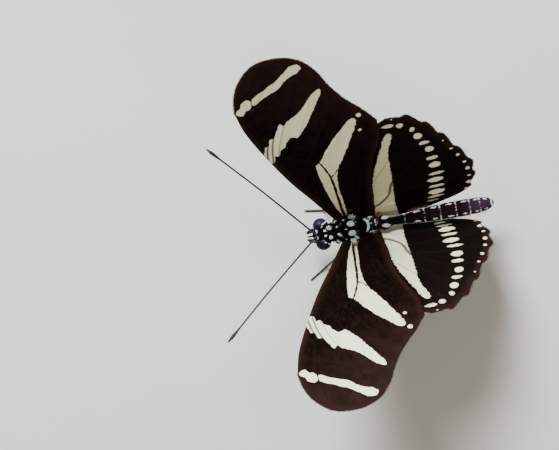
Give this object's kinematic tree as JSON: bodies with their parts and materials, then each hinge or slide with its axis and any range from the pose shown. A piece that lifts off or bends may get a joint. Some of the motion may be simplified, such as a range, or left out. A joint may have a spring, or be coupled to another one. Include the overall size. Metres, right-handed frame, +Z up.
{
  "type": "zebra longwing butterfly model",
  "caption": "Life-size still butterfly with long black and cream banded wings held up in a V, slim body, clubbed antennae and legs standing flat on the ground.",
  "frame": {"origin": "on the floor under the middle of the bounding box", "axes": "+Z up, the head looks along -Y, the tail points along +Y, the butterfly's left side is +X"},
  "size_m": [0.0504, 0.043, 0.0385],
  "materials": {
    "wing": "matt dark brown scales with cream bands and spots",
    "body": "short black fur with grey white spots",
    "abdomen": "dark scales with pale rings",
    "eye": "glossy dark purple with fine facets",
    "feeler": "black with a blue sheen, finely ringed",
    "leg": "black, scaled and spined"
  },
  "bodies": {
    "root": {"head": "body", "eye_left": "eye", "eye_right": "eye", "palp_left": "body", "palp_right": "body", "proboscis": "feeler", "antenna_left": "feeler", "antenna_right": "feeler", "thorax": "body", "abdomen": "abdomen", "forewing_left": "wing", "forewing_right": "wing", "hindwing_left": "wing", "hindwing_right": "wing", "foreleg_left": "leg", "foreleg_right": "leg", "midleg_femur_left": "leg", "midleg_tibia_left": "leg", "midleg_tarsus_left": "leg", "midleg_femur_right": "leg", "midleg_tibia_right": "leg", "midleg_tarsus_right": "leg", "hindleg_femur_left": "leg", "hindleg_tibia_left": "leg", "hindleg_tarsus_left": "leg", "hindleg_femur_right": "leg", "hindleg_tibia_right": "leg", "hindleg_tarsus_right": "leg"}
  },
  "joints": []
}
